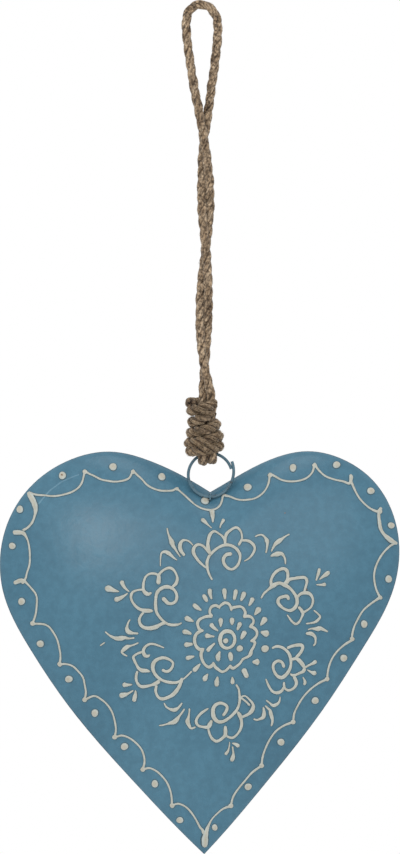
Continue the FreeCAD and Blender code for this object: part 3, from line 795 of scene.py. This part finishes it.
def smooth_line(points, step):
    """Points a steady step apart on a smooth curve through flat points with widths, and its length."""
    spots = [Vector(point) for point in points]
    for end, inner in ((0, 1), (-1, -2)):
        away = (spots[end].xy - spots[inner].xy).normalized() * (TIP_REACH * spots[end].z)
        tip = Vector((spots[end].x + away.x, spots[end].y + away.y, spots[end].z))
        spots = [tip] + spots if end == 0 else spots + [tip]
    ends = [spots[0] * 2.0 - spots[1]] + spots + [spots[-1] * 2.0 - spots[-2]]
    dense = []
    for a, b, c, d in zip(ends, ends[1:], ends[2:], ends[3:]):
        for part in range(CURVE_PARTS):
            t = part / CURVE_PARTS
            dense.append(0.5 * (2.0 * b + (c - a) * t + (2.0 * a - 5.0 * b + 4.0 * c - d) * t ** 2
                                + (3.0 * b - a - 3.0 * c + d) * t ** 3))
    dense.append(spots[-1])
    lengths = lengths_along([spot.xy for spot in dense])
    return spaced(dense, lengths, step, 4), lengths[-1]


def pixel_spots(tenths):
    """The places and widths, in pixels, that a run of tenths gives."""
    values = [value / TENTHS for value in tenths]
    return list(zip(values[::3], values[1::3], values[2::3]))


def add_stroke(points, faces, light_and_tone, chance, stroke, lift):
    """One piped line: a rounded bead on the sheet with soft ends and a slightly sunk middle."""
    spots = [(x, y, width + STROKE_SPREAD) for x, y, width in pixel_spots(stroke)]
    line, length = smooth_line(spots, STROKE_STEP / PIXEL)
    wander = phases(chance, 3)
    hits = [on_heart(point.x, point.y) for point in line]
    count = len(line) - 1
    base = len(points)
    high = chance.uniform(*STROKE_RISE)
    for index, point in enumerate(line):
        along = length * index / count
        normals = [hit[1] for hit in hits[max(0, index - 2):index + 3]]
        normal = sum(normals, Vector()).normalized()
        ahead = line[min(count, index + 1)].xy - line[max(0, index - 1)].xy
        beside = Vector((-ahead.y, ahead.x)).normalized()
        width = point.z * (1.0 + 0.05 * math.sin(along / 2.3 + wander[0])
                           + 0.035 * math.sin(along / 0.9 + wander[1]))
        for end_width, gone in ((line[0].z, along), (line[-1].z, length - along)):
            cap = 0.5 * end_width
            if gone < cap:
                width *= math.sqrt(max(0.02, 1.0 - (1.0 - gone / cap) ** 2))
        half = 0.5 * width
        left = on_heart(point.x + beside.x * half, point.y + beside.y * half)[0]
        right = on_heart(point.x - beside.x * half, point.y - beside.y * half)[0]
        skirt = (left - right).normalized() * SHADOW_SKIRT
        rise = (lift * min(high * width * PIXEL, STROKE_LIMIT)
                * (1.0 + 0.06 * math.sin(along / 1.7 + wander[2])))
        lean = 0.1 * math.sin(along / 5.0 + wander[1])
        for corner in range(STROKE_SIDES + 1):
            across = -math.cos(math.pi * corner / STROKE_SIDES)
            dome = math.sqrt(max(0.0, 1.0 - across * across))
            groove = (STROKE_GROOVE[0] * math.exp(-((across - lean) / STROKE_GROOVE[1]) ** 2)
                      * min(1.0, point.z / 4.0))
            up = rise * dome * (1.0 - groove) + SKIRT_RISE
            points.append(right.lerp(left, 0.5 + 0.5 * across) + normal * up)
            # Painted light for the colour: zero at the bead's foot for painted shadow, low on the flanks for
            # a painted highlight, highest on top
            light_and_tone.append(dome * (1.0 - 0.35 * abs(across)))
        # The dark fillet of painted shadow, sunk a little into the sheet
        for edge in (right - skirt, left + skirt):
            points.append(edge - normal * SUNK)
            light_and_tone.append(0.0)
    rows = STROKE_SIDES + 3
    for index in range(count):
        a = base + index * rows
        b = a + rows
        faces.append((a + rows - 2, b + rows - 2, b, a))
        faces.append((a + rows - 3, b + rows - 3, b + rows - 1, a + rows - 1))
        for corner in range(STROKE_SIDES):
            faces.append((a + corner, b + corner, b + corner + 1, a + corner + 1))
    for start, flipped in ((base, False), (base + count * rows, True)):
        cap_face = [start + rows - 2, *range(start, start + rows - 2), start + rows - 1]
        faces.append(tuple(reversed(cap_face)) if flipped else tuple(cap_face))


def add_drop(points, faces, light_and_tone, chance, spot):
    """One drop of paint: a low dome, a little uneven, with a small dimple where the nozzle left it."""
    x, y, width = spot
    place, normal = on_heart(x, y)
    half = 0.5 * (width + DROP_SPREAD)
    rise = half * PIXEL * chance.uniform(*DROP_RISE)
    stretch = chance.uniform(0.94, 1.06)
    wander = phases(chance, 4)
    dimple = Vector((chance.uniform(-0.25, 0.25), chance.uniform(-0.25, 0.25)))
    base = len(points)
    points.append(place + normal * (rise * 0.93))
    light_and_tone.append(1.0)
    for ring in range(1, DROP_RINGS + 1):
        share = ring / DROP_RINGS
        for spoke in range(DROP_SPOKES):
            angle = math.tau * spoke / DROP_SPOKES
            rough = 1.0 + 0.04 * math.sin(2 * angle + wander[0]) + 0.025 * math.sin(3 * angle + wander[1])
            flat = Vector((math.cos(angle) * stretch, math.sin(angle) / stretch)) * (share * rough)
            sink = DIMPLE[0] * math.exp(-((flat - dimple).length / DIMPLE[1]) ** 2)
            up = rise * (math.sqrt(max(0.0, 1.0 - share ** 2.6)) - sink) + SKIRT_RISE
            reach = half
            # The last two rings are the dark fillet of painted shadow round the drop
            if ring == DROP_RINGS:
                up = -SUNK
                reach = half + SHADOW_SKIRT / PIXEL
            elif ring == DROP_RINGS - 1:
                up = SKIRT_RISE
                reach = half / share
            points.append(on_heart(x + flat.x * reach, y + flat.y * reach)[0] + normal * up)
            light_and_tone.append(0.0 if ring >= DROP_RINGS - 1 else 1.0 - share ** 4)
    faces += disc_faces(base, DROP_RINGS, DROP_SPOKES)


def piped_piece(name, strokes, drops, seed, material, lift=1.0):
    """Strokes and drops of one colour, as one mesh that rides on the heart."""
    chance = random.Random(seed)
    points, faces, light_and_tone = [], [], []
    for stroke in strokes:
        add_stroke(points, faces, light_and_tone, chance, stroke, lift)
    for spot in pixel_spots(drops):
        add_drop(points, faces, light_and_tone, chance, spot)
    made = mesh_object(name, points, faces, material)
    add_layer(made, "middle", "FLOAT", "value", light_and_tone)
    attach(made, "heart")


def piped_material():
    """Cream piping paint: paler and cooler at its flanks as a painted highlight, warmer and duller on top,
    and a dark strip of painted shadow beside the sheet.
    """
    material, tree, shader = new_material("piped_paint")
    place = object_place(tree)
    # This value carries painted light: 0 at the paint's foot gives a dark strip of painted shadow, low values
    # on the flanks a pale painted highlight, 1 on top the warmer paint colour
    middle = attribute(tree, "middle", "Fac")
    cloudy = noise(tree, place, 320.0, 3.0, 0.6)
    fine = noise(tree, place, 1400.0, 3.0, 0.6)
    colour = ramp(tree, middle, [(0.0, srgb(44, 68, 80)), (0.16, srgb(96, 110, 112)),
                                 (0.3, srgb(168, 180, 180)), (0.65, srgb(174, 179, 173)),
                                 (1.0, srgb(171, 168, 155))])
    dull = ramp(tree, cloudy, [(0.3, (0.84, 0.83, 0.8, 1.0)), (0.6, WHITE)])
    colour = mixed(tree, 0.9, colour, dull, "MULTIPLY")
    grain = ramp(tree, fine, [(0.35, (0.93, 0.92, 0.9, 1.0)), (0.6, WHITE)])
    colour = mixed(tree, 0.8, colour, grain, "MULTIPLY")
    feed(tree, shader, {"Base Color": colour, "Roughness": between(tree, cloudy, 0.42, 0.6),
                        "Specular IOR Level": 0.35})
    bump(tree, shader, mixed(tree, 0.4, cloudy, fine), 0.3, 0.0004)
    return material


def chips_piece(name, chips, seed, material):
    """Small ragged patches, each with its place, width, length, turn and rise off the sheet."""
    chance = random.Random(seed)
    points = []
    faces = []
    for x, y, wide, long, turn, rise in chips:
        place, normal = on_heart(x, y)
        base = len(points)
        points.append(place + normal * (rise * MM))
        for ring in (1, 2):
            for spoke in range(CHIP_SPOKES):
                angle = math.tau * spoke / CHIP_SPOKES
                ragged = chance.uniform(0.65, 1.0) * 0.25 * ring
                round_spot = Vector((long * math.cos(angle), wide * math.sin(angle)))
                flat = Matrix.Rotation(math.radians(turn), 2) @ round_spot
                up = normal * (rise * MM if ring == 1 else -SUNK)
                points.append(on_heart(x + flat.x * ragged, y + flat.y * ragged)[0] + up)
        faces += disc_faces(base, 2, CHIP_SPOKES)
    made = mesh_object(name, points, faces, material)
    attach(made, "heart")


piped_paint = piped_material()
piped_piece("piped_border", BORDER, BORDER_DOTS + BORDER_CUSPS, 41, piped_paint)
piped_piece("piped_flowers", FLOWERS, [], 43, piped_paint)
piped_piece("piped_leaves", LEAVES, [], 47, piped_paint)
piped_piece("piped_medallion", MEDALLION, INNER_DOTS, 53, piped_paint)

CHIP_SPOKES = 14
# Where the paint is chipped, in pixels and degrees, and the height of what lies under it, in millimetres
CHIPS = [(62.3, 475.6, 3.6, 4.4, 20, 1.02), (210, 554.6, 1.8, 2.4, 40, 0.62), (285, 513, 1.6, 2.8, -15, 0.05),
         (306.8, 589.5, 1.4, 2.0, 70, 0.6)]
chip_rust = spotted_material("chip_rust", 1500.0, 4.0, 0.65,
                             [(0.35, srgb(60, 42, 32)), (0.5, srgb(112, 78, 58)), (0.65, srgb(146, 116, 92))],
                             {"Roughness": 0.8}, 0.5)
chips_piece("paint_chips", CHIPS, 61, chip_rust)
# Rubs in the blue paint, as thin strokes in tenths of a pixel
RUBS = [
    (385,5040,6, 440,4970,7, 500,4905,7, 560,4860,6, 620,4815,7, 700,4780,6, 790,4745,5),
]
rubbed_paint = paint_material("rubbed_paint", srgb(84, 121, 141), srgb(76, 113, 132), srgb(94, 132, 150))
piped_piece("paint_rubs", RUBS, [], 67, rubbed_paint, 0.1)

# Stage: a pale floor, well below the object and out of the photograph's frame
FLOOR_Z = -0.60
FLOOR_HALF = 3.6
pale, tree, shader = new_material("pale_floor")
feed(tree, shader, {"Base Color": (0.92, 0.92, 0.92, 1.0), "Roughness": 0.9})
floor = mesh_object("floor", [(x * FLOOR_HALF, y * FLOOR_HALF, FLOOR_Z)
                              for x, y in ((-1, -1), (1, -1), (1, 1), (-1, 1))], [(0, 1, 2, 3)], pale)

# Light
world = bpy.data.worlds.new("world")
world.use_nodes = True
feed(world.node_tree, world.node_tree.nodes["Background"], {"Color": WHITE, "Strength": 1.0})
bpy.context.scene.world = world
# How far a softbox stands from the lobe that mirrors it
SOFTBOX_DISTANCE = 1.5


def area_light(name, place, target, size, power):
    data = bpy.data.lights.new(name, "AREA")
    data.shape = "RECTANGLE"
    data.size, data.size_y = size
    data.energy = power
    lamp = new_object(name, data)
    lamp.location = place
    lamp.rotation_euler = (Vector(target) - Vector(place)).to_track_quat("-Z", "Y").to_euler()


# Name, place, target, size and power of the free lamps
area_light("key", (-1.0, -1.5, 0.8), (0.0, 0.0, -0.25), (0.9, 0.9), 0.9)
area_light("top", (0.0, -0.5, 1.1), (0.0, 0.0, -0.3), (0.7, 0.7), 3.2)
# A softbox for each lobe, where the lobe mirrors it towards the front
for name, spot, size, power in (("glow", (95, 533), (0.12, 0.26), 2.2),
                                ("fill", (303, 522), (0.75, 0.75), 2.5)):
    place, normal = on_heart(*spot)
    way = Vector((0.0, 1.0, 0.0)).reflect(normal)
    area_light(name, place + way * SOFTBOX_DISTANCE, place, size, power)

bpy.context.scene.view_settings.view_transform = "Standard"
